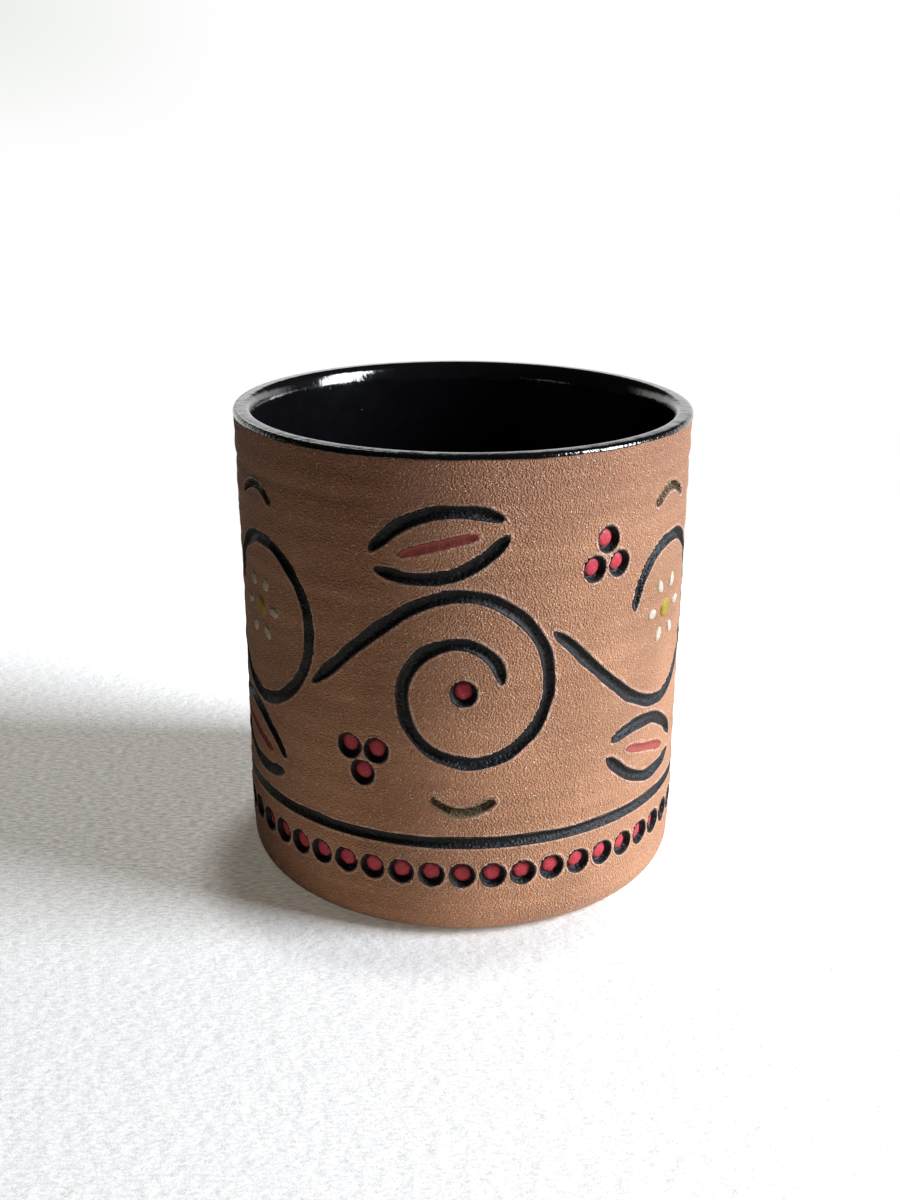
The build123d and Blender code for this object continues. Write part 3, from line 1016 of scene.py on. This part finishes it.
# %% Glazes
lip_lump_radii = (rim_radius - 0.6, rim_radius - 0.1)
liner_dark, liner_lit = rgb(0.0015, 0.0015, 0.002), rgb(0.004, 0.004, 0.005)
pool_dark, pool_lit, pool_edge = rgb(0.026, 0.014, 0.005), rgb(0.170, 0.100, 0.036), rgb(0.30, 0.185, 0.095)

black_glaze, tree, shader = start_material("black_glaze", Coat_Weight=0.6, Coat_Roughness=0.08)
where = millimetres(tree)
ripple = noise(0.35, where, 2.0, 0.5)
fine_ripple = noise(2.2, millimetres(tree, (1, 1, 0.4)), 4.0, 0.6)
outside = ease(far_from(millimetres(tree, (1, 1, 0))), *lip_lump_radii)
lumps = times(outside, noise(1.3, where, 2.0, 0.55))
pin = ease(cells(0.5, where)["Distance"], 0.07, 0.03)
skin = bump(weighed((ripple, 0.10), (fine_ripple, 0.02), (lumps, 0.16), (pin, -0.02)))
colour = mix(ripple, liner_dark, liner_lit)
spread = ease(pin, 0.0, 1.0, 0.12, 0.3)
feed(shader, Base_Color=colour, Roughness=spread, Normal=skin, Coat_Normal=skin)
dress(black_glaze, glaze_coat)

brown_glaze, tree, shader = start_material("brown_glaze", IOR=1.55)
lumps = noise(2.0, millimetres(tree), 3.0, 0.65)
edge = ease(attribute(tree, "edge_share"), 0.62, 0.97)
colour = mix(edge, mix(ease(lumps, 0.35, 0.65), pool_dark, pool_lit), pool_edge)
spread = ease(lumps, 0.3, 0.7, 0.05, 0.22)
feed(shader, Base_Color=colour, Roughness=spread, Normal=bump(lumps, 0.8))
dress(brown_glaze, stamp_glaze)

# %% [markdown]
# The cup stands on heavy white watercolour paper. The paper is a stage, not part of the cup: a flat grid
# that turns into the white backdrop behind the cup and far off all round. Through Is Camera Ray the
# camera sees a paper of its own, with painted light: brighter behind the cup than in front, and a faint
# painted glow that lifts the paper's shadow and is weaker close to the cup, as painted contact shadow.
# Every other ray meets a warm sheet that ends a little way round the cup, which sets how much light the
# paper throws back.

# %% Paper
paper_half = 2500.0
paper_lines = 41
# painted light: the camera's paper is brighter behind the cup than in front
paper_seen, paper_seen_behind = 0.68, 1.35
paper_seen_depths = (-50.0, 70.0)  # between these the camera's paper turns from the one tone to the other
sheet_near, sheet_far = rgb(1.0, 0.89, 0.75), rgb(0.06, 0.053, 0.045)
sheet_middle, sheet_fade = (-25.0, -60.0, 0.0), (95.0, 225.0)
# the second tone is the glow's painted contact shadow, close to the cup
glow_full, glow_painted_shade = rgb(1, 0.965, 0.89), rgb(0.40, 0.355, 0.29)
glow_strength = 0.34
glow_shares = (0.67, 1.33)
# where the glow gets its painted contact shadow: a middle near the cup, to the front and away from the
# window, and the distances over which it fades
painted_shade_middle, painted_shade_fade = (-8.0, -13.0, 0.0), (46.0, 35.0)  # close to the cup, away from the window
white_depths = (60.0, 260.0)
white_reaches = (260.0, 620.0)

lines_across = np.linspace(-paper_half, paper_half, paper_lines)
sheet = np.stack(np.meshgrid(lines_across, lines_across, [0.0]), -1)[:, :, 0]
number = np.arange(paper_lines**2).reshape(paper_lines, paper_lines)
squares = np.stack([number[:-1, :-1], number[:-1, 1:], number[1:, 1:], number[1:, :-1]], -1).reshape(-1, 4)
paper = mesh_object("paper", sheet.reshape(-1, 3), squares.tolist())

paper_material = bpy.data.materials.new("watercolour_paper")
paper_material.use_nodes = True
tree = paper_material.node_tree
tree.nodes.clear()
where = millimetres(tree)
depth_back = axes_of(where)["Y"]
rays = place(tree, "LightPath").outputs
camera_ray = rays["Is Camera Ray"]
seen_ray = worked("MAXIMUM", camera_ray, rays["Is Glossy Ray"])
tooth = noise(1.0, millimetres(tree, (0.7, 1.3, 1)), 4.0, 0.65)
dimples = cells(0.42, where, feature="SMOOTH_F1")["Distance"]
raised = bump(weighed((tooth, 0.5), (dimples, 0.35)), 0.9, 0.5)
sheet_share = ease(far_from(where, sheet_middle), *sheet_fade)
sheet_colour = mix(sheet_share, sheet_near, sheet_far)
# painted light: the camera's paper turns brighter towards the back
behind_share = ease(depth_back, *paper_seen_depths)
paper_colour = mix(behind_share, rgb(paper_seen), rgb(paper_seen_behind))
colour = mix(camera_ray, sheet_colour, paper_colour)
matt = place(tree, "BsdfDiffuse", {"Color": colour, "Normal": raised}).outputs[0]
# painted contact shadow: the camera's glow turns darker close to the cup
glow_and_painted_shade_tone = mix(ease(far_from(where, painted_shade_middle), *painted_shade_fade), glow_full, glow_painted_shade)
fibres = noise(1.15, millimetres(tree, (0.5, 1.5, 1)), 4.0, 0.7)
fibre_glow = ease(fibres, 0.3, 0.7, *(share * glow_strength for share in glow_shares))
glow_share = times(camera_ray, fibre_glow)
glow = place(tree, "Emission", {"Color": glow_and_painted_shade_tone, "Strength": glow_share}).outputs[0]
lit = place(tree, "AddShader", {0: matt, 1: glow}).outputs[0]
white = place(tree, "Emission", {"Strength": 1.0}).outputs[0]
behind = times(ease(depth_back, *white_depths), seen_ray)
all_round = times(ease(far_from(where), *white_reaches), camera_ray)
far = worked("MAXIMUM", behind, all_round)
shown = place(tree, "MixShader", {0: far, 1: lit, 2: white}).outputs[0]
place(tree, "OutputMaterial", {"Surface": shown})
dress(paper_material, paper)

# %% [markdown]
# The light is one tall soft window to the right and a little in front, low enough to throw a long soft
# shadow to the left, and a dim room. Mirror-like surfaces see the bright backdrop only low over the
# horizon behind the cup. The camera stands where the photograph's did: its height, distance and tilt were
# fitted to the cup's outline, and its lens to the size of the cup in the frame.

# %% Light and camera
window_direction = (-12.5, 27.0)  # degrees from +X towards -Y, and above the table
window_distance = 800.0
window_size = (330.0, 520.0)
window_power = 14.3
window_colour = (0.95, 1.0, 1.075)
room_colour = rgb(1.0, 0.88, 0.78)
room_strength, mirrored_room_strength = 0.036, 0.02
backdrop_white, backdrop_corner = rgb(1, 1, 1), rgb(0.83, 0.86, 0.82)
horizon_band = (0.22, 0.36)  # sines of the heights between which the backdrop's reflection fades
away_band = (0.35, 0.65)
corner_across, corner_up = (-0.12, -0.32), (-0.057, 0.045)  # the backdrop is darker at the upper left
camera_place = (-2.4, -264.0, 143.0)
camera_tilt_down = 19.6
camera_roll = 0.3
camera_lens = 43.5
camera_near_limit = 10.0

window_light = bpy.data.lights.new("window", "AREA")
window_light.shape = "RECTANGLE"
window_light.size, window_light.size_y = (side * metres for side in window_size)
window_light.energy = window_power
window_light.color = window_colour
window = bpy.data.objects.new("window", window_light)
azimuth, elevation = np.radians(window_direction)
level = np.cos(elevation)
toward = Vector((np.cos(azimuth) * level, np.sin(azimuth) * level, np.sin(elevation)))
window.location = toward * window_distance * metres
window.rotation_euler = toward.to_track_quat("Z", "Y").to_euler()
bpy.context.collection.objects.link(window)

world = bpy.data.worlds.new("room")
world.use_nodes = True
bpy.context.scene.world = world
tree = world.node_tree
rays = place(tree, "LightPath").outputs
glossy_ray = rays["Is Glossy Ray"]
view = axes_of(place(tree, "TexCoord").outputs["Generated"])
low_enough = ease(view["Z"], *horizon_band, 1.0, 0.0)
near_horizon = times(low_enough, ease(view["Y"], *away_band))
seen = worked("MAXIMUM", rays["Is Camera Ray"], times(glossy_ray, near_horizon))
corner = times(ease(view["X"], *corner_across), ease(view["Z"], *corner_up))
backdrop_tone = mix(corner, backdrop_white, backdrop_corner)
lights = ((room_colour, room_strength), (room_colour, mirrored_room_strength), (backdrop_tone, 1.0))
room_light, dark_room, backdrop = (
    place(tree, "Background", {"Color": tone, "Strength": power}).outputs[0] for tone, power in lights
)
unseen = place(tree, "MixShader", {0: glossy_ray, 1: room_light, 2: dark_room}).outputs[0]
both = place(tree, "MixShader", {0: seen, 1: unseen, 2: backdrop}).outputs[0]
feed(tree.nodes["World Output"], Surface=both)

camera_data = bpy.data.cameras.new("camera")
camera_data.lens = camera_lens
camera_data.clip_start = camera_near_limit * metres
camera = bpy.data.objects.new("camera", camera_data)
camera.location = Vector(camera_place) * metres
tilt = Euler((np.radians(90 - camera_tilt_down), 0, 0)).to_matrix()
camera.rotation_euler = (tilt @ Euler((0, 0, np.radians(camera_roll))).to_matrix()).to_euler()
bpy.context.collection.objects.link(camera)
bpy.context.scene.camera = camera
bpy.context.scene.view_settings.view_transform = "Standard"
print("camera", [round(value, 1) for value in camera_place], "mm, lens", camera_lens)
